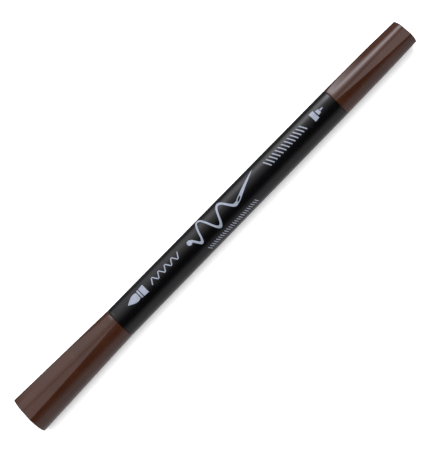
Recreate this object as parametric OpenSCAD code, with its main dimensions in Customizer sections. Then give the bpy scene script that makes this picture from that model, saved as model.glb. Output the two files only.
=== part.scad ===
// Twin-tip fabric marking pen: a brush nib at one end, a fine nib at the other, a cap over each.
// The pen lies along X with the brush end at -X. The origin is on its axis, halfway along it.
// Each cap has two opposite flats, facing up and down, that stop the pen from rolling.

/* [Overall] */
// Length with both caps on
pen_length = 160; // [154:1:180]

/* [Barrel] */
// Diameter at the open end of the barrel, where the brush section is pressed in
barrel_brush_d = 10.4; // [10.3:0.05:11]
// Diameter at the fine end, smaller by the moulding draft
barrel_fine_d = 9.9; // [9.8:0.05:10.4]
// Diameter of the bore that holds the ink reservoir
barrel_bore_d = 8.3; // [8.1:0.05:8.5]

/* [Brush end] */
// Length of the cap over the brush nib
brush_cap_length = 38.5; // [37:0.5:44]
// Diameter of the brush cap's flared closed end
brush_cap_end_d = 12.9; // [11.5:0.1:14]
// Distance across the brush cap's two flats at its mouth
brush_cap_flat_mouth = 10.2; // [9.8:0.1:10.2]
// Distance across the brush cap's two flats at its closed end
brush_cap_flat_end = 11.1; // [10.2:0.1:11.4]
// Visible ring of the brush section between the cap and the barrel
flange_length = 1.1; // [0.8:0.1:1.6]
// Diameter of the spigot that the brush cap pushes onto
brush_spigot_d = 8.16; // [8.06:0.02:8.26]
// Diameter of the brush nib
brush_nib_d = 3.4; // [2.8:0.1:3.8]
// Length of brush nib that stands out of the section
brush_nib_out = 14.5; // [10:0.5:17]

/* [Fine end] */
// Length of the cap over the fine nib
fine_cap_length = 29.8; // [28:0.2:36]
// Diameter of the fine cap's closed end
fine_cap_end_d = 9.3; // [9:0.05:9.8]
// Distance across the fine cap's two flats at its mouth
fine_cap_flat_mouth = 9.5; // [9.3:0.1:9.7]
// Distance across the fine cap's two flats at its closed end
fine_cap_flat_end = 6.9; // [6.8:0.1:8.4]
// Diameter of the spigot that the fine cap pushes onto
fine_spigot_d = 7.7; // [7.5:0.02:7.8]
// Diameter of the fine nib
fine_nib_d = 1; // [0.6:0.1:1.4]
// Length of fine nib that stands out of its holder
fine_nib_out = 1.4; // [1:0.1:3]

/* [Fits] */
// Gap between the mouth of each cap and the shoulder behind it
mouth_gap = 0.15; // [0.1:0.05:0.3]
// Radial clearance of each cap on its spigot
cap_clearance = 0.07; // [0.05:0.01:0.1]
// Radial interference of the pressed and glued pieces
press = 0.02; // [0.01:0.01:0.03]

/* [Hidden] */

round_faces = 96;
black = [0.04, 0.04, 0.045];
brown = [0.23, 0.12, 0.075];
natural_white = [0.86, 0.85, 0.8];
inked_fibre = [0.3, 0.15, 0.09];

// Mouth planes of the two caps
brush_mouth_x = brush_cap_length - pen_length / 2;
fine_mouth_x = pen_length / 2 - fine_cap_length;

// Radii used by more than one piece
barrel_brush_r = barrel_brush_d / 2;
barrel_fine_r = barrel_fine_d / 2;
barrel_bore_r = barrel_bore_d / 2;
brush_spigot_r = brush_spigot_d / 2;
fine_spigot_r = fine_spigot_d / 2;
brush_nib_r = brush_nib_d / 2;
fine_nib_r = fine_nib_d / 2;

// Lengths and radii at the brush end, measured outwards from the cap's mouth
plug_length = 8;
brush_spigot_length = 7.5;
brush_seal_r = 3.3;
brush_seal_end = 12;
brush_nose_r = 2.3;
brush_nose_end = 17;
brush_section_bore_r = 2.9;
brush_nib_tail = 15.5;

// The same at the fine end
fine_spigot_length = 6.2;
fine_bore_step = -2.2;
fine_spigot_bore_r = 2.7;
fine_spigot_bore_end = 5;
fine_seal_r = 2.35;
fine_seal_end = 10;
fine_nose_r = 1.9;
fine_nose_end = 14;
holder_r = 1.5;
holder_tip_r = 0.85;
holder_neck_end = 16;
holder_end = 20;
fine_nib_tail = 7.5;

// Snap bead on each spigot
bead_height = 0.04;
bead_half_width = 0.6;
bead_half_top = 0.25;

// Caps
edge_round = 0.35;
cap_end_wall = 1.2;
inner_cap_wall = 0.7;
seal_clearance = 0.05;
mouth_chamfer = 0.3;
brush_inner_cap_start = 9.5;
fine_cap_step = 7;
fine_inner_cap_start = 8.2;
fine_inner_cap_r = 2.9;

// Reservoir
film_thickness = 0.1;
reservoir_slack = 0.08;
reservoir_r = barrel_bore_r - reservoir_slack - film_thickness;
reservoir_brush_x = brush_mouth_x + flange_length + plug_length + 1;
reservoir_fine_x = fine_mouth_x + fine_bore_step - 1.3;

// Solid turned about the X axis from a list of [distance along X, radius] points
module turned(outline) {
    rotate([0, 90, 0])
        rotate_extrude($fn = round_faces)
            polygon([for (p = outline) [p[1], p[0]]]);
}

// Straight turned solid between two places along X
module turned_bar(start, end, radius) {
    turned([[start, 0], [start, radius], [end, radius], [end, 0]]);
}

// Puts what is described outwards from a cap's mouth at that end of the pen
module at_brush_end() {
    translate([brush_mouth_x, 0, 0]) mirror([1, 0, 0]) children();
}

module at_fine_end() {
    translate([fine_mouth_x, 0, 0]) children();
}

// Outline of a spigot with its low snap bead halfway along it
function spigot_outline(start, end, radius) = let (middle = end / 2) [
    [start, radius],
    [middle - bead_half_width, radius],
    [middle - bead_half_top, radius + bead_height],
    [middle + bead_half_top, radius + bead_height],
    [middle + bead_half_width, radius],
    [end - mouth_chamfer, radius],
    [end, radius - mouth_chamfer]
];

// Keeps what lies between two planes that are mouth_half and end_half above and below the axis
module between_flats(length, mouth_half, end_half) {
    intersection() {
        children();
        rotate([90, 0, 0])
            linear_extrude(height = 20, center = true)
                polygon([
                    [0, -mouth_half],
                    [length - edge_round, -end_half],
                    [length, edge_round - end_half],
                    [length, end_half - edge_round],
                    [length - edge_round, end_half],
                    [0, mouth_half]
                ]);
    }
}

// Outside of a cap: a cone cut by two flats
module cap_outside(length, mouth_r, end_r, flat_mouth, flat_end) {
    between_flats(length, flat_mouth / 2, flat_end / 2)
        turned([
            [0, 0],
            [0, mouth_r],
            [length - edge_round, end_r],
            [length, end_r - edge_round],
            [length, 0]
        ]);
}

// Bore of a cap with a small lead-in at its mouth
module cap_bore(depth, radius) {
    turned([
        [-1, 0],
        [-1, radius + mouth_chamfer],
        [0, radius + mouth_chamfer],
        [mouth_chamfer, radius],
        [depth, radius],
        [depth, 0]
    ]);
}

// Cup pressed into a cap, whose mouth seals on the land behind the nib
module inner_cap(start, end, outer_r, bore_r) {
    difference() {
        turned_bar(start, end, outer_r + press);
        turned([
            [start - 1, 0],
            [start - 1, bore_r + mouth_chamfer],
            [start, bore_r + mouth_chamfer],
            [start + mouth_chamfer, bore_r],
            [end - inner_cap_wall, bore_r],
            [end - inner_cap_wall, 0]
        ]);
    }
}

// Drafted tube, closed down at the fine end to a spigot, a seal land and a nose in one moulding
module barrel() {
    open_end = brush_mouth_x + flange_length - fine_mouth_x;
    color(black)
        at_fine_end()
            difference() {
                turned(concat(
                    [[open_end, 0], [open_end, barrel_brush_r], [-mouth_gap, barrel_fine_r]],
                    spigot_outline(-mouth_gap, fine_spigot_length, fine_spigot_r),
                    [
                        [fine_spigot_length, fine_seal_r],
                        [fine_seal_end, fine_seal_r],
                        [fine_nose_end, fine_nose_r],
                        [fine_nose_end, 0]
                    ]
                ));
                turned_bar(open_end - 1, fine_bore_step, barrel_bore_r);
                turned_bar(fine_bore_step - 1, fine_spigot_bore_end, fine_spigot_bore_r);
                turned_bar(fine_spigot_bore_end - 1, fine_nose_end + 1, holder_r);
            }
}

// Plug, flange ring, spigot, seal land and nose that hold the brush nib
module brush_section() {
    plug_end = -flange_length - plug_length;
    plug_r = barrel_bore_r + press;
    color(black)
        at_brush_end()
            difference() {
                turned(concat(
                    [
                        [plug_end, 0],
                        [plug_end, plug_r - mouth_chamfer],
                        [plug_end + mouth_chamfer, plug_r],
                        [-flange_length, plug_r],
                        [-flange_length, barrel_brush_r],
                        [-mouth_gap, barrel_brush_r]
                    ],
                    spigot_outline(-mouth_gap, brush_spigot_length, brush_spigot_r),
                    [
                        [brush_spigot_length, brush_seal_r],
                        [brush_seal_end, brush_seal_r],
                        [brush_nose_end, brush_nose_r],
                        [brush_nose_end, 0]
                    ]
                ));
                turned_bar(plug_end - 1, 3, brush_section_bore_r);
                turned_bar(2, brush_nose_end + 1, brush_nib_r);
            }
}

// Stem gripped by the nose, then a long taper that bulges slightly before its soft point
module brush_nib() {
    grip_r = brush_nib_r + press;
    steps = 8;
    color(inked_fibre)
        at_brush_end()
            turned(concat(
                [[-brush_nib_tail, 0], [-brush_nib_tail, grip_r], [brush_nose_end, grip_r]],
                [for (i = [0:steps - 1])
                    [brush_nose_end + brush_nib_out * i / steps, brush_nib_r * (1 - pow(i / steps, 1.6))]],
                [[brush_nose_end + brush_nib_out, 0]]
            ));
}

// Slim tapered tube pressed into the barrel's nose around the fine nib
module fine_nib_holder() {
    color(natural_white)
        at_fine_end()
            difference() {
                turned([
                    [fine_spigot_bore_end, 0],
                    [fine_spigot_bore_end, holder_r + press],
                    [fine_nose_end, holder_r + press],
                    [fine_nose_end, holder_r - 0.15],
                    [holder_neck_end, holder_r - 0.15],
                    [holder_end, holder_tip_r],
                    [holder_end, 0]
                ]);
                turned_bar(fine_spigot_bore_end - 1, holder_end + 1, fine_nib_r);
            }
}

// Fine rod from the reservoir to its rounded tip
module fine_nib() {
    grip_r = fine_nib_r + press;
    color(inked_fibre)
        at_fine_end()
            turned([
                [-fine_nib_tail, 0],
                [-fine_nib_tail, grip_r],
                [holder_end, grip_r],
                [holder_end, fine_nib_r],
                [holder_end + fine_nib_out * 0.6, fine_nib_r * 0.85],
                [holder_end + fine_nib_out * 0.9, fine_nib_r * 0.5],
                [holder_end + fine_nib_out, 0]
            ]);
}

// Bundle of fibres that holds the ink, with a pocket pressed by each nib's tail
module reservoir_fibre() {
    color(inked_fibre)
        difference() {
            turned_bar(reservoir_brush_x, reservoir_fine_x, reservoir_r + press);
            turned_bar(reservoir_brush_x - 1, brush_mouth_x + brush_nib_tail, brush_nib_r + press);
            turned_bar(fine_mouth_x - fine_nib_tail, reservoir_fine_x + 1, fine_nib_r + press);
        }
}

// Film wrapped round the fibre bundle
module reservoir_film() {
    color(natural_white)
        difference() {
            turned_bar(reservoir_brush_x, reservoir_fine_x, reservoir_r + film_thickness);
            turned_bar(reservoir_brush_x - 1, reservoir_fine_x + 1, reservoir_r);
        }
}

// Long flared cap, whose two flats open less than the cone does
module brush_cap_shell() {
    bore_r = brush_spigot_r + cap_clearance;
    color(brown)
        at_brush_end()
            difference() {
                cap_outside(
                    brush_cap_length, barrel_brush_r, brush_cap_end_d / 2,
                    brush_cap_flat_mouth, brush_cap_flat_end
                );
                cap_bore(brush_cap_length - cap_end_wall, bore_r);
            }
}

module brush_cap_inner_cap() {
    color(natural_white)
        at_brush_end()
            inner_cap(
                brush_inner_cap_start, brush_cap_length - cap_end_wall,
                brush_spigot_r + cap_clearance, brush_seal_r + seal_clearance
            );
}

// Short slim cap, whose two flats close in towards its end
module fine_cap_shell() {
    color(brown)
        at_fine_end()
            difference() {
                cap_outside(
                    fine_cap_length, barrel_fine_r, fine_cap_end_d / 2,
                    fine_cap_flat_mouth, fine_cap_flat_end
                );
                cap_bore(fine_cap_step, fine_spigot_r + cap_clearance);
                turned_bar(fine_cap_step - 1, fine_cap_length - cap_end_wall, fine_inner_cap_r);
            }
}

module fine_cap_inner_cap() {
    color(natural_white)
        at_fine_end()
            inner_cap(
                fine_inner_cap_start, fine_cap_length - cap_end_wall,
                fine_inner_cap_r, fine_seal_r + seal_clearance
            );
}

barrel();
brush_section();
brush_nib();
fine_nib_holder();
fine_nib();
reservoir_fibre();
reservoir_film();
brush_cap_shell();
brush_cap_inner_cap();
fine_cap_shell();
fine_cap_inner_cap();
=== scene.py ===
"""Looks for the twin-tip fabric marking pen: fine meshes, print, materials, light and camera."""

import math

import bmesh
import bpy
from mathutils import Matrix, Vector, noise


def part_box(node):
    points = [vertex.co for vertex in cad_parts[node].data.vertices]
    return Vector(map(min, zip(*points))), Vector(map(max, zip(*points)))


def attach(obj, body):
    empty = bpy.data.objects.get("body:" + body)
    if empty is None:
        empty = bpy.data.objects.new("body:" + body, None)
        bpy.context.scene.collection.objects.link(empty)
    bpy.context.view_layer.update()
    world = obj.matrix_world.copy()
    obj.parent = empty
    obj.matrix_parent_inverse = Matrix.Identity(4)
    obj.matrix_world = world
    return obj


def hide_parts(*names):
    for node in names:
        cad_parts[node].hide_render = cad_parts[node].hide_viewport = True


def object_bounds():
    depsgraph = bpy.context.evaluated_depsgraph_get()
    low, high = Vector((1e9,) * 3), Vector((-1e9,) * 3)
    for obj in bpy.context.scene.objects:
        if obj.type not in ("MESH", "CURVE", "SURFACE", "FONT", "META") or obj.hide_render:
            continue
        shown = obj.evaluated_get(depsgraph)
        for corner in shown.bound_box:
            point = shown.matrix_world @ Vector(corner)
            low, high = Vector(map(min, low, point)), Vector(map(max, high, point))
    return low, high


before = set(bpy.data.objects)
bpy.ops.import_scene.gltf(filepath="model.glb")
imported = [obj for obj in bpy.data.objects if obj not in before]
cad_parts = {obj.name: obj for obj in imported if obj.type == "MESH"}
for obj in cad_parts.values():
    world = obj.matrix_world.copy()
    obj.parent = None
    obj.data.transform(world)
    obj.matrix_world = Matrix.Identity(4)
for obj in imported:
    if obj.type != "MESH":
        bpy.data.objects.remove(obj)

cad_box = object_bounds()

MM = 0.001
TURN = 2 * math.pi
# Stands in for a radius of zero where a turned piece meets its axis
AXIS_R = 0.02


# ---------------------------------------------------------------- places taken from the frame


def reach(node):
    """Lowest and highest corner of a CAD node, in millimetres."""
    low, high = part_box(node)
    return Vector(low) / MM, Vector(high) / MM


barrel_low, barrel_high = reach("barrel")
section_low, section_high = reach("brush_section")
brush_cap_low, brush_cap_high = reach("brush_cap_shell")
fine_cap_low, fine_cap_high = reach("fine_cap_shell")
brush_nib_low, brush_nib_high = reach("brush_nib")
fine_nib_low, fine_nib_high = reach("fine_nib")
holder_low, holder_high = reach("fine_nib_holder")
brush_cup_low, brush_cup_high = reach("brush_cap_inner_cap")
fine_cup_low, fine_cup_high = reach("fine_cap_inner_cap")

BRUSH_MOUTH = brush_cap_high.x
FINE_MOUTH = fine_cap_low.x
BARREL_OPEN = barrel_low.x
BARREL_BRUSH_R = barrel_high.y
BARREL_FINE_R = fine_cap_high.y
MOUTH_GAP = 0.15
SHOULDER = FINE_MOUTH - MOUTH_GAP
FLOOR_Z = cad_box[0][2]


# ---------------------------------------------------------------- mesh building


def softened(outline, closed):
    """Outline of (x, radius, fillet) points with an arc in place of each corner that has a fillet."""
    count = len(outline)
    result = []
    for i, (x, r, fillet) in enumerate(outline):
        corner = Vector((x, r))
        if not fillet or (not closed and i in (0, count - 1)):
            result.append(corner)
            continue
        before = Vector(outline[i - 1][:2]) - corner
        after = Vector(outline[(i + 1) % count][:2]) - corner
        half_angle = before.angle(after) / 2
        back = min(fillet / math.tan(half_angle), before.length / 2, after.length / 2)
        start = corner + before.normalized() * back
        end = corner + after.normalized() * back
        steps = 5
        for k in range(steps + 1):
            t = k / steps
            result.append(start * (1 - t) ** 2 + corner * 2 * t * (1 - t) + end * t * t)
    return result


def with_spacing(points, spacing, closed):
    """The same outline with extra points, so that no straight stretch is longer than the spacing."""
    result = []
    last = len(points) if closed else len(points) - 1
    for i in range(last):
        a, b = points[i], points[(i + 1) % len(points)]
        pieces = max(1, math.ceil((b - a).length / spacing))
        result += [a.lerp(b, k / pieces) for k in range(pieces)]
    if not closed:
        result.append(points[-1])
    return result


def finish_mesh(bm, name, sharp_deg=32):
    """Turns a bmesh in millimetres into an object, with sharp edges marked by their angle."""
    bmesh.ops.remove_doubles(bm, verts=bm.verts, dist=1e-5)
    bmesh.ops.recalc_face_normals(bm, faces=bm.faces)
    limit = math.radians(sharp_deg)
    for edge in bm.edges:
        edge.smooth = edge.calc_face_angle(0) < limit
    for face in bm.faces:
        face.smooth = True
    bmesh.ops.scale(bm, vec=(MM, MM, MM), verts=bm.verts)
    mesh = bpy.data.meshes.new(name)
    bm.to_mesh(mesh)
    bm.free()
    obj = bpy.data.objects.new(name, mesh)
    bpy.context.scene.collection.objects.link(obj)
    return obj


def skin(bm, rings, closed):
    """Quads between neighbouring rings of points. Open ends are closed by a fan round their middle."""
    made = [[bm.verts.new(p) for p in ring] for ring in rings]
    count = len(made[0])
    pairs = list(zip(made, made[1:]))
    if closed:
        pairs.append((made[-1], made[0]))
    for ring_a, ring_b in pairs:
        for i in range(count):
            j = (i + 1) % count
            bm.faces.new((ring_a[i], ring_a[j], ring_b[j], ring_b[i]))
    if not closed:
        for ring in (made[0], made[-1]):
            middle = sum((v.co for v in ring), Vector()) / count
            hub = bm.verts.new(middle)
            for i in range(count):
                bm.faces.new((ring[i], ring[(i + 1) % count], hub))


def turned(name, outline, closed=True, around=160, spacing=2.5, shape=None):
    """Piece turned about X. shape(x, angle, radius) may change the radius, as for ridges."""
    points = with_spacing(softened(outline, closed), spacing, closed)
    rings = []
    for x, radius in points:
        ring = []
        for i in range(around):
            angle = TURN * i / around
            r = shape(x, angle, radius) if shape else radius
            ring.append(Vector((x, r * math.sin(angle), r * math.cos(angle))))
        rings.append(ring)
    bm = bmesh.new()
    skin(bm, rings, closed)
    return finish_mesh(bm, name)


# ---------------------------------------------------------------- caps

CAP_EDGE = 0.35
CAP_END_WALL = 1.2
CAP_LIP = 0.1
LEAD_IN = 0.3
LEAD_IN_ROUND = 0.05
CREASE_SOFTNESS = 0.07
# Shallow dish in a cap's closed end, as (share of the end's outline, depth), and the mark of the
# moulding gate in its middle, as (radius, depth)
DISH_DEPTH = 0.12
END_DISH = [(0.3, DISH_DEPTH), (0.62, DISH_DEPTH), (0.84, DISH_DEPTH), (0.9, 0.05), (0.94, 0)]
GATE_MARK = [(0.05, 0.07), (0.45, 0.07), (0.52, 0.14), (0.8, DISH_DEPTH)]
BRUSH_BORE_R = 4.15
BRUSH_CUP_BORE_R = 3.35
BRUSH_FLAT_MOUTH = 5.1
FINE_BORE_R = 3.92
FINE_INNER_R = 2.9
FINE_CUP_BORE_R = 2.4
FINE_STEP = 7
FINE_END_R = 4.65
FINE_FLAT_END = 3.45

# Each flat is a plane facet that rises to its front crease, and behind it a slightly rounded cheek
FACET_RISE = math.tan(math.radians(4))
CHEEK_RISE = math.tan(math.radians(8))
# Slope angle at the cheek's far side, as a share of the angle from the flat's middle to its crease
CHEEK_TURN = 1.1
# Power law by which the valley line leaves the front crease and reaches the flat's middle
VALLEY_CURVE = 0.4


def soft_corner(before, corner, after):
    """Three points that round a corner between its two neighbours."""
    return [before, (before + corner * 2 + after) / 4, after]


def half_section(cone_r, flat_half, share):
    """Half of a cap's cross-section, from its front side round to its back, as (across, height)
    points. Share is the place along the cap, from 0 at its mouth to 1 at its closed end."""
    arc_steps, facet_steps, cheek_steps = 26, 10, 20
    half_width = math.sqrt(cone_r ** 2 - flat_half ** 2)
    soft = min(CREASE_SOFTNESS, half_width * 0.2)
    valley = max(half_width * (share ** VALLEY_CURVE - 1), soft * 2 - half_width)
    valley_height = flat_half - FACET_RISE * (half_width + valley)
    cheek = half_width - valley
    crease = math.acos(flat_half / cone_r)
    cheek_fall = math.tan(crease * CHEEK_TURN)
    bend = (CHEEK_RISE + cheek_fall) / (2 * cheek)

    def on_cone(angle):
        return Vector((cone_r * math.sin(angle), cone_r * math.cos(angle)))

    def on_flat(across):
        past = across - valley
        if past < 0:
            return Vector((across, valley_height - FACET_RISE * past))
        rounded = min(past, cheek)
        drop = bend * rounded ** 2 + cheek_fall * (past - rounded)
        return Vector((across, valley_height + CHEEK_RISE * rounded - drop))

    # The cheek ends where it runs out onto the cone, a place found by halving. Near the fine cap's
    # closed end it falls away too fast to meet the cone, and ends at this share of the cone's radius.
    widest_share, halvings = 0.98, 24
    inside, outside = valley, cone_r * widest_share
    for _ in range(halvings):
        middle = (inside + outside) / 2
        if on_flat(middle).length < cone_r:
            inside = middle
        else:
            outside = middle
    front = -crease
    back = math.atan2(inside, on_flat(inside).y)
    step = soft / cone_r
    quarter = math.pi / 2

    def spread(curve, start, end, steps):
        return [curve(start + (end - start) * i / steps) for i in range(steps)]

    points = spread(on_cone, -quarter, front - step, arc_steps)
    points += soft_corner(on_cone(front - step), on_cone(front), on_flat(soft - half_width))
    points += spread(on_flat, soft * 1.5 - half_width, valley, facet_steps)
    points += spread(on_flat, valley, inside - soft, cheek_steps)
    points += soft_corner(on_flat(inside - soft), on_cone(back), on_cone(back + step))
    points += spread(on_cone, back + step * 2, quarter, arc_steps)
    return points


def cap_ring(x, cone_r, flat_half, share):
    """Cross-section of a cone cut by two flats, half a turn apart."""
    half = half_section(cone_r, flat_half, share)
    return [Vector((x, side * across, side * height)) for side in (1, -1) for across, height in half]


def round_ring(x, radius, like):
    """Ring of one radius whose points keep the directions of another ring's points."""
    ring = []
    for p in like:
        flat = Vector((0, p.y, p.z)).normalized() * radius
        ring.append(Vector((x, flat.y, flat.z)))
    return ring


def shrunk_ring(x, share, like):
    """Another ring drawn in towards the axis and moved to x."""
    return [Vector((x, p.y * share, p.z * share)) for p in like]


def cap_shell(name, mouth, outward, length, mouth_r, end_r, flat_mouth, flat_end, bore):
    """Cap from its closed end's middle, over the outside to the lip, and down the bore, which is a
    list of (depth, radius). Outward is the direction in x from the mouth to the closed end."""
    rings = []

    def at(along):
        return mouth + outward * along

    def outside(along, inset):
        share = min(1.0, along / (length - CAP_EDGE))
        cone = mouth_r + (end_r - mouth_r) * share - inset
        flat = flat_mouth + (flat_end - flat_mouth) * share - inset
        return cap_ring(at(along), cone, flat, share)

    # Closed end and the rounded edge round it
    edge = outside(length, CAP_EDGE)
    for radius, depth in GATE_MARK:
        rings.append(round_ring(at(length - depth), radius, edge))
    for share, depth in END_DISH:
        rings.append(shrunk_ring(at(length - depth), share, edge))
    edge_steps = 7
    for i in range(edge_steps + 1):
        angle = math.pi / 2 * i / edge_steps
        along = length - CAP_EDGE + CAP_EDGE * math.cos(angle)
        rings.append(outside(along, CAP_EDGE * (1 - math.sin(angle))))

    # Outside, from the edge to the rounded lip
    side_length = length - CAP_EDGE - CAP_LIP
    side_steps = 36
    for i in range(1, side_steps + 1):
        rings.append(outside(length - CAP_EDGE - side_length * i / side_steps, 0))
    lip = rings[-1]
    lip_steps = 3
    for i in range(1, lip_steps + 1):
        angle = math.pi / 2 * i / lip_steps
        rings.append(outside(CAP_LIP - CAP_LIP * math.sin(angle), CAP_LIP * (1 - math.cos(angle))))

    # Lead-in, bore and the bottom of the bore
    first_r = bore[0][1]
    rings.append(round_ring(mouth, first_r + LEAD_IN + LEAD_IN_ROUND, lip))
    rings.append(round_ring(at(LEAD_IN_ROUND), first_r + LEAD_IN, lip))
    for depth, radius in bore:
        rings.append(round_ring(at(depth), radius, lip))
    last_depth, last_r = bore[-1]
    rings.append(round_ring(at(last_depth), last_r * 0.5, lip))
    bm = bmesh.new()
    skin(bm, rings, closed=False)
    return finish_mesh(bm, name)


def brush_cap():
    length = BRUSH_MOUTH - brush_cap_low.x
    end_r, flat_end = brush_cap_high.y, brush_cap_high.z
    ring_gap = 12
    depths = (LEAD_IN, ring_gap, ring_gap * 2, length - CAP_END_WALL)
    bore = [(depth, BRUSH_BORE_R) for depth in depths]
    return cap_shell(
        "brush_cap_moulding", BRUSH_MOUTH, -1, length,
        BARREL_BRUSH_R, end_r, BRUSH_FLAT_MOUTH, flat_end, bore
    )


def fine_cap():
    length = fine_cap_high.x - FINE_MOUTH
    flat_mouth = fine_cap_high.z
    bore = [
        (LEAD_IN, FINE_BORE_R),
        (FINE_STEP, FINE_BORE_R),
        (FINE_STEP, FINE_INNER_R),
        (length - CAP_END_WALL, FINE_INNER_R),
    ]
    return cap_shell(
        "fine_cap_moulding", FINE_MOUTH, 1, length,
        BARREL_FINE_R, FINE_END_R, flat_mouth, FINE_FLAT_END, bore
    )


def inner_cup(name, open_x, shut_x, outer_r, bore_r):
    """Seal cup inside a cap: flared lip, thin wall and a flat bottom."""
    bottom, flare, flare_depth = 0.7, 0.22, 0.5
    outward = math.copysign(1, shut_x - open_x)
    floor_x = shut_x - outward * bottom
    outline = [
        (shut_x, AXIS_R, 0),
        (shut_x, outer_r, 0.2),
        (open_x, outer_r, 0.12),
        (open_x, bore_r + flare, 0.1),
        (open_x + outward * flare_depth, bore_r, 0.2),
        (floor_x, bore_r, 0.5),
        (floor_x, AXIS_R, 0),
    ]
    return turned(name, outline, closed=False)


def brush_inner_cap():
    open_x, shut_x = brush_cup_high.x, brush_cup_low.x
    return inner_cup("brush_cap_seal_cup", open_x, shut_x, BRUSH_BORE_R, BRUSH_CUP_BORE_R)


def fine_inner_cap():
    open_x, shut_x = fine_cup_low.x, fine_cup_high.x
    return inner_cup("fine_cap_seal_cup", open_x, shut_x, FINE_INNER_R, FINE_CUP_BORE_R)


# ---------------------------------------------------------------- pen body

BARREL_BORE_R = 4.15
BRUSH_NIB_R = 1.7
FINE_NIB_R = 0.5
HOLDER_R = 1.5


def snap_bead(start, outward, spigot_r):
    """Outline points of the low bead round a spigot that each cap snaps over."""
    height, ramp, crest, fillet = 0.04, 0.35, 0.5, 0.2
    return [
        (start, spigot_r, fillet),
        (start + outward * ramp, spigot_r + height, fillet),
        (start + outward * (ramp + crest), spigot_r + height, fillet),
        (start + outward * (ramp + crest + ramp), spigot_r, fillet),
    ]


def barrel():
    """Tube with the fine end's spigot, seal land and nose moulded on."""
    spigot_r, seal_r, nose_r, pocket_r = 3.85, 2.35, 1.9, 2.7
    bead_start = FINE_MOUTH + 2.5
    spigot_end = FINE_MOUTH + 6.2
    seal_end = FINE_MOUTH + 10
    bore_end = FINE_MOUTH - 2.2
    pocket_end = FINE_MOUTH + 5
    outline = [
        (BARREL_OPEN, BARREL_BORE_R, 0.05),
        (BARREL_OPEN, BARREL_BRUSH_R, 0.1),
        (SHOULDER, BARREL_FINE_R, 0.14),
        (SHOULDER, spigot_r, 0.1),
        *snap_bead(bead_start, 1, spigot_r),
        (spigot_end, spigot_r, 0.4),
        (spigot_end, seal_r, 0.15),
        (seal_end, seal_r, 0.25),
        (barrel_high.x, nose_r, 0.15),
        (barrel_high.x, HOLDER_R, 0.05),
        (pocket_end, HOLDER_R, 0),
        (pocket_end, pocket_r, 0),
        (bore_end, pocket_r, 0),
        (bore_end, BARREL_BORE_R, 0),
    ]
    return turned("barrel_moulding", outline, around=256)


def brush_section():
    """Plug in the barrel, flange ring, spigot, seal land and the nose that holds the brush nib."""
    bore_r, spigot_r, seal_r, nose_r = 2.9, 4.08, 3.3, 2.3
    flange_x = BRUSH_MOUTH + MOUTH_GAP
    bead_start = BRUSH_MOUTH - 3.15
    spigot_end = BRUSH_MOUTH - 7.5
    seal_end = BRUSH_MOUTH - 12
    bore_end = BRUSH_MOUTH - 2
    outline = [
        (section_high.x, bore_r, 0.1),
        (section_high.x, BARREL_BORE_R, 0.3),
        (BARREL_OPEN, BARREL_BORE_R, 0.02),
        (BARREL_OPEN, BARREL_BRUSH_R, 0.14),
        (flange_x, BARREL_BRUSH_R, 0.14),
        (flange_x, spigot_r, 0.1),
        *snap_bead(bead_start, -1, spigot_r),
        (spigot_end, spigot_r, 0.4),
        (spigot_end, seal_r, 0.2),
        (seal_end, seal_r, 0.3),
        (section_low.x, nose_r, 0.25),
        (section_low.x, BRUSH_NIB_R, 0.08),
        (bore_end, BRUSH_NIB_R, 0),
        (bore_end, bore_r, 0),
    ]
    return turned("brush_section_moulding", outline, around=256)


def brush_nib():
    """Felted brush: a tapered bundle whose surface is ridged by the fibres that run along it."""
    nose_x, tip_x = section_low.x, brush_nib_low.x
    out = nose_x - tip_x
    smooth_grip, fullness = 0.2, 1.6
    point_length, point_r = 0.06, 0.09
    fine_depth, coarse_depth = 0.045, 0.03

    def ridges(x, angle, stretch, count, shift):
        return noise.noise(Vector((x * stretch, count * math.cos(angle), count * math.sin(angle) + shift)))

    def fibres(x, angle, radius):
        if x > nose_x + smooth_grip:
            return radius
        fine = max(0, 0.4 + ridges(x, angle, 0.12, 9, 0))
        coarse = 0.5 + ridges(x, angle, 0.05, 3, 7)
        return radius * (1 - fine_depth * fine - coarse_depth * coarse)

    outline = [
        (brush_nib_high.x, AXIS_R, 0),
        (brush_nib_high.x, BRUSH_NIB_R, 0.3),
        (nose_x, BRUSH_NIB_R, 0),
    ]
    steps = 40
    for i in range(1, steps):
        share = i / steps
        outline.append((nose_x - out * share, BRUSH_NIB_R * (1 - share ** fullness), 0))
    outline.append((tip_x + point_length, point_r, 0))
    outline.append((tip_x, AXIS_R, 0))
    return turned("brush_nib_felt", outline, closed=False, around=240, spacing=0.8, shape=fibres)


def fine_nib_holder():
    """Tube pressed into the barrel's nose, thinner outside it and tapered towards the nib."""
    tip_r = 0.85
    neck_r = HOLDER_R - 0.15
    taper_start = FINE_MOUTH + 16
    outline = [
        (holder_low.x, FINE_NIB_R, 0.05),
        (holder_low.x, HOLDER_R, 0.2),
        (barrel_high.x, HOLDER_R, 0),
        (barrel_high.x, neck_r, 0.05),
        (taper_start, neck_r, 0.8),
        (holder_high.x, tip_r, 0.15),
        (holder_high.x, FINE_NIB_R, 0.05),
    ]
    return turned("fine_nib_holder_tube", outline, around=128, spacing=1)


def fine_nib():
    """Thin rod of bonded fibre, rounded towards its tip."""
    start, tip = fine_nib_low.x, fine_nib_high.x
    out = tip - holder_high.x
    outline = [
        (start, AXIS_R, 0),
        (start, FINE_NIB_R, 0.1),
        (holder_high.x, FINE_NIB_R, 0),
        (holder_high.x + out * 0.6, FINE_NIB_R * 0.85, 0.3),
        (tip, FINE_NIB_R * 0.35, 0.16),
        (tip, AXIS_R, 0),
    ]
    return turned("fine_nib_rod", outline, closed=False, around=96, spacing=0.5)


# ---------------------------------------------------------------- printed marks

# Height of the ink's face above the barrel, depth of its back below, and width of a flat strip of it
INK_RAISED = 0.009
INK_SUNK = 0.03
STRIP = 0.25


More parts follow.
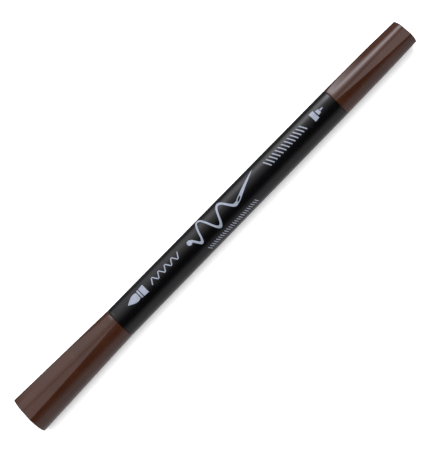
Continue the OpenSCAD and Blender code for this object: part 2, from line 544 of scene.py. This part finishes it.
def barrel_radius(x):
    """The barrel's radius at x, which falls evenly from its brush end to its fine end."""
    share = (x - BARREL_OPEN) / (SHOULDER - BARREL_OPEN)
    return BARREL_BRUSH_R + (BARREL_FINE_R - BARREL_BRUSH_R) * share


def filled(name, outlines):
    """Flat mesh inside outlines of (along, around) points. An outline inside another is a hole."""
    curve = bpy.data.curves.new(name, "CURVE")
    curve.dimensions = "2D"
    curve.fill_mode = "BOTH"
    for outline in outlines:
        spline = curve.splines.new("POLY")
        spline.points.add(len(outline) - 1)
        for point, (along, around) in zip(spline.points, outline):
            point.co = (along, around, 0, 1)
        spline.use_cyclic_u = True
    flat = bpy.data.objects.new(name + "_flat", curve)
    bpy.context.scene.collection.objects.link(flat)
    bpy.context.view_layer.update()
    bm = bmesh.new()
    bm.from_mesh(flat.to_mesh())
    flat.to_mesh_clear()
    bpy.data.objects.remove(flat)
    bmesh.ops.remove_doubles(bm, verts=bm.verts, dist=1e-4)
    return bm


def cut_into_strips(bm):
    """Cuts a flat mesh into strips along the pen, so that it can bend round the barrel."""
    low = min(v.co.y for v in bm.verts)
    high = max(v.co.y for v in bm.verts)
    for k in range(math.ceil(low / STRIP), math.floor(high / STRIP) + 1):
        everything = bm.verts[:] + bm.edges[:] + bm.faces[:]
        cut = (0, k * STRIP, 0)
        bmesh.ops.bisect_plane(bm, geom=everything, plane_co=cut, plane_no=(0, 1, 0), dist=1e-5)


def printed(name, outlines):
    """Ink laid on the barrel: flat outlines of (along, around) millimetres, wrapped about the axis.
    Around is zero on top of the pen and grows towards the front."""
    bm = filled(name, outlines)
    cut_into_strips(bm)
    top = bmesh.ops.extrude_face_region(bm, geom=bm.faces[:])
    raised = [v for v in top["geom"] if isinstance(v, bmesh.types.BMVert)]
    for v in bm.verts:
        v.co.z = -INK_SUNK
    for v in raised:
        v.co.z = INK_RAISED
    for v in bm.verts:
        along, around, height = v.co
        radius = barrel_radius(along)
        angle = around / radius
        r = radius + height
        v.co = Vector((along, -r * math.sin(angle), r * math.cos(angle)))
    return finish_mesh(bm, name, sharp_deg=40)


def bar(along, around, length, width, slant_deg):
    """Round-ended stitch centred on a place, its length turned away from the pen's axis by the slant."""
    slant = math.radians(slant_deg)
    half, end_r = (length - width) / 2, width / 2
    end_steps = 4
    points = []
    for side in (1, -1):
        for k in range(end_steps + 1):
            angle = math.pi * (k / end_steps - 0.5)
            u = side * (half + end_r * math.cos(angle))
            v = side * end_r * math.sin(angle)
            turned_u = u * math.cos(slant) - v * math.sin(slant)
            turned_v = u * math.sin(slant) + v * math.cos(slant)
            points.append((along + turned_u, around + turned_v))
    return points


def disc(along, around, radius):
    steps = 28
    angles = [TURN * i / steps for i in range(steps)]
    return [(along + radius * math.cos(a), around + radius * math.sin(a)) for a in angles]


def tapered_block(start, end, start_half, end_half):
    """Block along the pen from start to end, with its half width at each."""
    return [(start, -start_half), (end, -end_half), (end, end_half), (start, start_half)]


def brush_mark():
    """Sign for the brush end: a leaf-shaped tip, a narrow band and a short grip."""
    tip, leaf_length, leaf_half = -35.9, 4.4, 1.364
    # The leaf follows a sine from its tip past the widest place, drawn a little towards its back
    wave_share, lean = 0.72, 1.15
    steps = 14
    upper = []
    for i in range(steps + 1):
        share = i / steps
        half = leaf_half * math.sin(math.pi * wave_share * share ** lean)
        upper.append((tip + leaf_length * share, half))
    leaf = upper + [(u, -v) for u, v in reversed(upper[1:])]
    return [leaf, tapered_block(-31.2, -30.6, 1.35, 1.4), tapered_block(-30.3, -28.5, 1.45, 1.6)]


def fine_mark():
    """Sign for the fine end: a short grip, a step and a thin point."""
    grip = tapered_block(41.7, 43.3, 1.6, 1.5)
    step = tapered_block(43.7, 44.8, 0.85, 0.7)
    point = tapered_block(45.0, 46.1, 0.3, 0.14)
    return [grip, step, point]


def thread_wave():
    """A knotted thread that runs in a dying wave to the eye of a needle."""
    start, end = -9.2, 8.6
    first_swing, last_swing, waves, lead = 4.6, 1.7, 2.25, 0.5
    rising_width, extra_level_width = 0.5, 0.62
    steps, nudge = 90, 0.004
    left, right = [], []

    def centre(t):
        x = start + (end - start) * t
        swing = first_swing + (last_swing - first_swing) * t
        # The wave grows from the knot over the first sixth of its length
        grown = min(1, t * 6)
        return Vector((x, swing * grown * math.sin(TURN * waves * t + lead)))

    for i in range(steps + 1):
        t = i / steps
        here = centre(t)
        ahead = (centre(min(1, t + nudge)) - centre(max(0, t - nudge))).normalized()
        across = Vector((-ahead.y, ahead.x))
        width = rising_width + extra_level_width * ahead.x ** 2
        left.append(tuple(here + across * width / 2))
        right.append(tuple(here - across * width / 2))
    return left + right[::-1]


def needle():
    """A slim needle with a long eye, lying aslant."""
    base, tip, widest_half = Vector((8.2, 1.9)), Vector((18.4, -2.4)), 0.62
    taper, butt, butt_growth = 0.55, 0.55, 5
    eye_place, eye_length, eye_width = 1.5, 1.8, 0.5
    along = (tip - base).normalized()
    across = Vector((-along.y, along.x))
    steps = 16
    upper, lower = [], []
    for i in range(steps + 1):
        share = i / steps
        half = widest_half * (1 - share) ** taper * min(1, butt + share * butt_growth)
        middle = base.lerp(tip, share)
        upper.append(tuple(middle + across * half))
        lower.append(tuple(middle - across * half))
    body = upper + lower[-2::-1]
    eye_middle = base + along * eye_place
    slant_deg = math.degrees(math.atan2(along.y, along.x))
    return [body, bar(eye_middle.x, eye_middle.y, eye_length, eye_width, slant_deg)]


def zigzag_row(start, end, half_height, pitch, width):
    """Zigzag stitches, each a separate slanted bar."""
    count = int((end - start) / pitch)
    slant = math.degrees(math.atan2(2 * half_height, pitch))
    length = math.hypot(pitch, 2 * half_height) - width * 0.9
    places = [start + pitch * (i + 0.5) for i in range(count)]
    return [bar(x, 0, length, width, slant if i % 2 else -slant) for i, x in enumerate(places)]


def slanted_row(start, end, around, length, pitch, width, slant_deg=65):
    """Row of equal slanted stitches."""
    count = int((end - start) / pitch)
    return [bar(start + pitch * (i + 0.5), around, length, width, slant_deg) for i in range(count)]


# ---------------------------------------------------------------- materials


def add_maths(tree, operation, a, b=None, clamp=False):
    """Maths node on numbers or sockets in a node tree."""
    node = tree.nodes.new("ShaderNodeMath")
    node.operation = operation
    node.use_clamp = clamp
    for socket, value in zip(node.inputs, (a, b)):
        if isinstance(value, (int, float)):
            socket.default_value = value
        elif value is not None:
            tree.links.new(value, socket)
    return node.outputs["Value"]


class Nodes:
    """Short way to add and link shader nodes. Noise scales are per metre, and bumps in metres."""

    def __init__(self, name):
        self.material = bpy.data.materials.new(name)
        self.material.use_nodes = True
        self.tree = self.material.node_tree
        self.tree.nodes.clear()
        self.output = self.tree.nodes.new("ShaderNodeOutputMaterial")
        self.shader = self.add("ShaderNodeBsdfPrincipled")
        self.link(self.shader.outputs["BSDF"], self.output.inputs["Surface"])
        self.coords = self.add("ShaderNodeTexCoord").outputs["Object"]

    def add(self, kind, **values):
        node = self.tree.nodes.new(kind)
        for key, value in values.items():
            setattr(node, key, value)
        return node

    def link(self, a, b):
        self.tree.links.new(a, b)

    def stretched(self, scale):
        """Object coordinates scaled differently along each axis."""
        mapping = self.add("ShaderNodeMapping")
        mapping.inputs["Scale"].default_value = scale
        self.link(self.coords, mapping.inputs["Vector"])
        return mapping.outputs["Vector"]

    def noise(self, per_metre, detail, roughness=0.5, vector=None):
        node = self.add("ShaderNodeTexNoise")
        node.inputs["Scale"].default_value = per_metre
        node.inputs["Detail"].default_value = detail
        node.inputs["Roughness"].default_value = roughness
        self.link(vector or self.coords, node.inputs["Vector"])
        return node.outputs["Fac"]

    def mapped(self, value, low_in, high_in, low_out, high_out):
        node = self.add("ShaderNodeMapRange")
        node.inputs["From Min"].default_value = low_in
        node.inputs["From Max"].default_value = high_in
        node.inputs["To Min"].default_value = low_out
        node.inputs["To Max"].default_value = high_out
        self.link(value, node.inputs["Value"])
        return node.outputs["Result"]

    def maths(self, operation, a, b):
        return add_maths(self.tree, operation, a, b)

    def mix(self, factor, colour_a, colour_b):
        """Blend of two colours, each a tuple or a socket. Colours are sockets 6 and 7, result 2."""
        node = self.add("ShaderNodeMix", data_type="RGBA")
        self.link(factor, node.inputs["Factor"])
        for socket, value in ((node.inputs[6], colour_a), (node.inputs[7], colour_b)):
            if isinstance(value, tuple):
                socket.default_value = (*value, 1)
            else:
                self.link(value, socket)
        return node.outputs[2]

    def bump(self, height, distance, strength=1.0, before=None):
        node = self.add("ShaderNodeBump")
        node.inputs["Strength"].default_value = strength
        node.inputs["Distance"].default_value = distance
        self.link(height, node.inputs["Height"])
        if before:
            self.link(before, node.inputs["Normal"])
        return node.outputs["Normal"]


def moulded_gloss(name, colour, worn, roughness, specular):
    """Polished moulding: faint waviness, fine hairline scratches, a few dull scuffs and dust."""
    m = Nodes(name)
    cloud = m.noise(120, 2)
    scuff = m.noise(420, 5, 0.62)
    hair = m.noise(1, 4, 0.7, m.stretched((260, 5200, 5200)))
    dust = m.noise(2600, 2, 0.8)
    scuffed = m.mapped(scuff, 0.60, 0.72, 0, 0.35)
    dusty = m.mapped(dust, 0.72, 0.76, 0, 0.5)
    darker = tuple(c * 0.9 for c in colour)
    lighter = tuple(c * 1.1 for c in colour)
    dust_grey = (0.3, 0.29, 0.27)
    tone = m.mix(m.mapped(cloud, 0.35, 0.65, 0, 1), darker, lighter)
    tone = m.mix(m.maths("MULTIPLY", scuffed, 0.35), tone, worn)
    tone = m.mix(m.maths("MULTIPLY", dusty, 0.25), tone, dust_grey)
    m.link(tone, m.shader.inputs["Base Color"])
    rough = m.mapped(hair, 0.4, 0.75, roughness * 0.85, roughness * 1.5)
    rough = m.maths("ADD", rough, m.maths("MULTIPLY", scuffed, 0.25))
    m.link(rough, m.shader.inputs["Roughness"])
    wave = m.bump(m.noise(300, 1), 0.00002, 0.35)
    scratch = m.bump(hair, 0.0000035, 0.5, wave)
    m.link(scratch, m.shader.inputs["Normal"])
    m.shader.inputs["IOR"].default_value = 1.5
    m.shader.inputs["Specular IOR Level"].default_value = specular
    return m.material


def fibre_material(name, dry, wet):
    """Felt or bundled fibre: streaks along the pen, uneven ink and a dull, hairy surface."""
    m = Nodes(name)
    streak = m.noise(1, 5, 0.65, m.stretched((320, 4200, 4200)))
    blotch = m.noise(500, 4, 0.6)
    tone = m.mix(m.mapped(streak, 0.35, 0.68, 0, 1), wet, dry)
    tone = m.mix(m.mapped(blotch, 0.35, 0.7, 0, 0.6), tone, wet)
    m.link(tone, m.shader.inputs["Base Color"])
    m.link(m.mapped(streak, 0.3, 0.7, 0.62, 0.9), m.shader.inputs["Roughness"])
    m.link(m.bump(streak, 0.00012, 0.8), m.shader.inputs["Normal"])
    m.shader.inputs["Sheen Weight"].default_value = 0.25
    m.shader.inputs["Sheen Roughness"].default_value = 0.5
    return m.material


def natural_plastic():
    """Uncoloured polyethylene: milky, waxy, a little scuffed by the spigot."""
    m = Nodes("natural_plastic")
    darker, lighter, ink_stain = (0.70, 0.69, 0.62), (0.79, 0.78, 0.72), (0.45, 0.36, 0.28)
    cloud = m.noise(260, 3)
    rub = m.noise(1, 4, 0.7, m.stretched((180, 3000, 3000)))
    tone = m.mix(m.mapped(cloud, 0.35, 0.65, 0, 1), darker, lighter)
    tone = m.mix(m.mapped(rub, 0.6, 0.8, 0, 0.35), tone, ink_stain)
    m.link(tone, m.shader.inputs["Base Color"])
    m.link(m.mapped(rub, 0.35, 0.7, 0.32, 0.5), m.shader.inputs["Roughness"])
    m.link(m.bump(rub, 0.00001, 0.5), m.shader.inputs["Normal"])
    m.shader.inputs["Subsurface Weight"].default_value = 0.3
    m.shader.inputs["Subsurface Radius"].default_value = (0.0012, 0.0010, 0.0008)
    return m.material


def film_material():
    """Clear wrapping film, wrinkled along the bundle."""
    m = Nodes("reservoir_film")
    darker, lighter = (0.62, 0.6, 0.56), (0.75, 0.74, 0.7)
    wrinkle = m.noise(1, 4, 0.6, m.stretched((90, 1500, 1500)))
    tone = m.mix(m.mapped(wrinkle, 0.3, 0.7, 0, 1), darker, lighter)
    m.link(tone, m.shader.inputs["Base Color"])
    m.link(m.mapped(wrinkle, 0.3, 0.7, 0.1, 0.3), m.shader.inputs["Roughness"])
    m.link(m.bump(wrinkle, 0.00006, 0.7), m.shader.inputs["Normal"])
    m.shader.inputs["Transmission Weight"].default_value = 0.4
    return m.material


def print_material():
    """Screen-printed ink: nearly matt, with a grainy edge and slight thin spots."""
    m = Nodes("pale_print")
    full, thinned, gap = (0.235, 0.262, 0.325), (0.185, 0.208, 0.262), (0.09, 0.1, 0.125)
    grain = m.noise(5200, 3, 0.7)
    thin = m.noise(900, 4, 0.6)
    tone = m.mix(m.mapped(thin, 0.35, 0.7, 0, 1), full, thinned)
    tone = m.mix(m.mapped(grain, 0.62, 0.72, 0, 0.4), tone, gap)
    m.link(tone, m.shader.inputs["Base Color"])
    m.link(m.mapped(grain, 0.3, 0.7, 0.38, 0.6), m.shader.inputs["Roughness"])
    m.link(m.bump(grain, 0.000006, 0.6), m.shader.inputs["Normal"])
    return m.material


# ---------------------------------------------------------------- stage, light and camera

VIEW_ELEVATION_DEG = 69
ROLL_DEG = 45.63
CAMERA_DISTANCE = 0.548
LENS_MM = 142.7
SENSOR_MM = 36
# How far the pen's middle stands from the middle of the view, right and up, in metres
PEN_OFFSET = (0.00056, 0.00271)


def view_axes():
    """Right, up and back directions of the camera."""
    elevation, roll = math.radians(VIEW_ELEVATION_DEG), math.radians(ROLL_DEG)
    back = Vector((0, -math.cos(elevation), math.sin(elevation)))
    level_right = Vector((1, 0, 0))
    level_up = back.cross(level_right)
    right = level_right * math.cos(roll) - level_up * math.sin(roll)
    up = level_right * math.sin(roll) + level_up * math.cos(roll)
    return right, up, back


def add_camera():
    right, up, back = view_axes()
    target = -right * PEN_OFFSET[0] - up * PEN_OFFSET[1]
    data = bpy.data.cameras.new("camera")
    data.lens = LENS_MM
    data.sensor_width = SENSOR_MM
    data.clip_start, data.clip_end = 0.01, 20
    cam = bpy.data.objects.new("camera", data)
    bpy.context.scene.collection.objects.link(cam)
    turn = Matrix((right, up, back)).transposed().to_4x4()
    cam.matrix_world = Matrix.Translation(target + back * CAMERA_DISTANCE) @ turn
    bpy.context.scene.camera = cam


WASH_WATTS = 22
WASH_SIZE = 1.4
WASH_HEIGHT = 1.1


def floor_wash():
    """Large overhead softbox that lights the floor evenly and leaves no mark in the gloss."""
    light = bpy.data.lights.new("floor_wash", "AREA")
    light.shape = "SQUARE"
    light.size = WASH_SIZE
    light.energy = WASH_WATTS
    obj = bpy.data.objects.new("floor_wash", light)
    bpy.context.scene.collection.objects.link(obj)
    obj.location = (0, 0, WASH_HEIGHT)
    obj.visible_glossy = False


def floor_card():
    """Matt white card that glows a little, so that shadows on it stay pale."""
    m = Nodes("floor_card")
    darker, lighter = (0.86, 0.86, 0.86), (0.88, 0.88, 0.88)
    tone = m.mix(m.mapped(m.noise(700, 3), 0.3, 0.7, 0, 1), darker, lighter)
    m.link(tone, m.shader.inputs["Base Color"])
    m.shader.inputs["Roughness"].default_value = 0.9
    m.shader.inputs["Specular IOR Level"].default_value = 0.1
    m.shader.inputs["Emission Color"].default_value = (1, 1, 1, 1)
    m.shader.inputs["Emission Strength"].default_value = 0.32
    return m.material


def add_floor():
    half = 1.6
    bm = bmesh.new()
    bmesh.ops.create_grid(bm, x_segments=8, y_segments=8, size=half)
    for v in bm.verts:
        v.co.z = FLOOR_Z
    mesh = bpy.data.meshes.new("floor")
    bm.to_mesh(mesh)
    bm.free()
    floor = bpy.data.objects.new("floor", mesh)
    bpy.context.scene.collection.objects.link(floor)
    mesh.materials.append(floor_card())
    floor.visible_glossy = False


# The studio round the pen, as (direction in degrees, brightness): 0 is the front horizon, 90 overhead,
# 180 the back horizon. A long soft light stands behind the pen and a pale table in front of it.
STUDIO = [
    (-180, 0.13), (-128, 0.16), (-96, 0.55), (-10, 0.6), (4, 0.55), (20, 0.22), (34, 0.03), (62, 0.03),
    (74, 0.08), (88, 0.26), (108, 0.66), (128, 1.0), (152, 0.95), (174, 0.8), (180, 0.3),
]
# A lamp at the right of the back light: its direction, reach on each side and brightness. Sideways,
# in shares of a unit direction, it fades in from its left limit and out to its right limit.
LAMP_DEG = 146
LAMP_HALF_WIDTH_DEG = 30
LAMP_BRIGHTNESS = 4.6
LAMP_LEFT, LAMP_LEFT_FADE = -0.03, 0.2
LAMP_RIGHT, LAMP_RIGHT_FADE = 0.65, 0.25


def add_light():
    """World light that changes with the direction round the pen's long axis, and the floor's light."""
    world = bpy.data.worlds.new("studio")
    world.use_nodes = True
    tree = world.node_tree
    nodes, links = tree.nodes, tree.links

    def maths(*values, clamp=False):
        return add_maths(tree, *values, clamp=clamp)

    split = nodes.new("ShaderNodeSeparateXYZ")
    links.new(nodes.new("ShaderNodeTexCoord").outputs["Generated"], split.inputs["Vector"])
    x, y, z = split.outputs
    degrees = maths("DEGREES", maths("ARCTAN2", z, maths("MULTIPLY", y, -1)))

    ramp = nodes.new("ShaderNodeValToRGB")
    links.new(maths("DIVIDE", maths("ADD", degrees, 180), 360), ramp.inputs["Fac"])
    stops = ramp.color_ramp.elements
    while len(stops) < len(STUDIO):
        stops.new(0.5)
    for stop, (angle, level) in zip(stops, STUDIO):
        stop.position = (angle + 180) / 360
        stop.color = (level, level, level, 1)

    from_lamp = maths("ABSOLUTE", maths("SUBTRACT", degrees, LAMP_DEG))
    near = maths("SUBTRACT", 1, maths("DIVIDE", from_lamp, LAMP_HALF_WIDTH_DEG), clamp=True)
    from_left = maths("DIVIDE", maths("SUBTRACT", x, LAMP_LEFT), LAMP_LEFT_FADE, clamp=True)
    from_right = maths("DIVIDE", maths("SUBTRACT", LAMP_RIGHT, x), LAMP_RIGHT_FADE, clamp=True)
    sideways = maths("MULTIPLY", from_left, from_right)
    lamp = maths("MULTIPLY", maths("MULTIPLY", maths("POWER", near, 1.5), sideways), LAMP_BRIGHTNESS)
    background = nodes["Background"]
    background.inputs["Color"].default_value = (0.985, 0.965, 1, 1)
    links.new(maths("ADD", ramp.outputs["Color"], lamp), background.inputs["Strength"])
    bpy.context.scene.world = world
    floor_wash()
    bpy.context.scene.view_settings.view_transform = "Standard"


# ---------------------------------------------------------------- the pen


def place(piece, body, node, material):
    """Gives a finished piece its body, the CAD node it stands for and its material."""
    piece.data.materials.clear()
    piece.data.materials.append(material)
    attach(piece, body)
    if node:
        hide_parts(node)


def dress(node, material):
    """Gives a CAD node that stays its material."""
    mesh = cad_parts[node].data
    mesh.materials.clear()
    mesh.materials.append(material)


def build_pen():
    black = moulded_gloss(
        "barrel_black", colour=(0.0011, 0.0011, 0.0014), worn=(0.02, 0.02, 0.021),
        roughness=0.16, specular=0.5
    )
    brown = moulded_gloss(
        "cap_brown", colour=(0.033, 0.0098, 0.0042), worn=(0.075, 0.04, 0.028),
        roughness=0.17, specular=0.6
    )
    felt = fibre_material("inked_fibre", dry=(0.13, 0.05, 0.022), wet=(0.035, 0.011, 0.005))
    white = natural_plastic()
    film = film_material()
    ink = print_material()

    place(barrel(), "pen_body", "barrel", black)
    place(brush_section(), "pen_body", "brush_section", black)
    place(brush_nib(), "pen_body", "brush_nib", felt)
    place(fine_nib_holder(), "pen_body", "fine_nib_holder", white)
    place(fine_nib(), "pen_body", "fine_nib", felt)
    place(brush_cap(), "brush_cap", "brush_cap_shell", brown)
    place(fine_cap(), "fine_cap", "fine_cap_shell", brown)
    place(brush_inner_cap(), "brush_cap", "brush_cap_inner_cap", white)
    place(fine_inner_cap(), "fine_cap", "fine_cap_inner_cap", white)
    dress("reservoir_fibre", felt)
    dress("reservoir_film", film)

    marks = {
        "print_brush_sign": brush_mark(),
        "print_fine_sign": fine_mark(),
        "print_thread": [thread_wave()],
        "print_knot": [disc(along=-9.9, around=0, radius=0.85)],
        "print_needle": needle(),
        "print_zigzag_stitch": zigzag_row(-26.4, -12.9, half_height=1.1, pitch=1.35, width=0.34),
        "print_whip_stitch": slanted_row(22.2, 39.6, around=0, length=2.9, pitch=1.25, width=0.36),
        "print_fine_stitch": slanted_row(-7, 14.2, around=5.85, length=1.7, pitch=0.85, width=0.28),
    }
    for name, outlines in marks.items():
        place(printed(name, outlines), "pen_body", None, ink)


add_camera()
add_floor()
add_light()
build_pen()

bpy.context.view_layer.update()
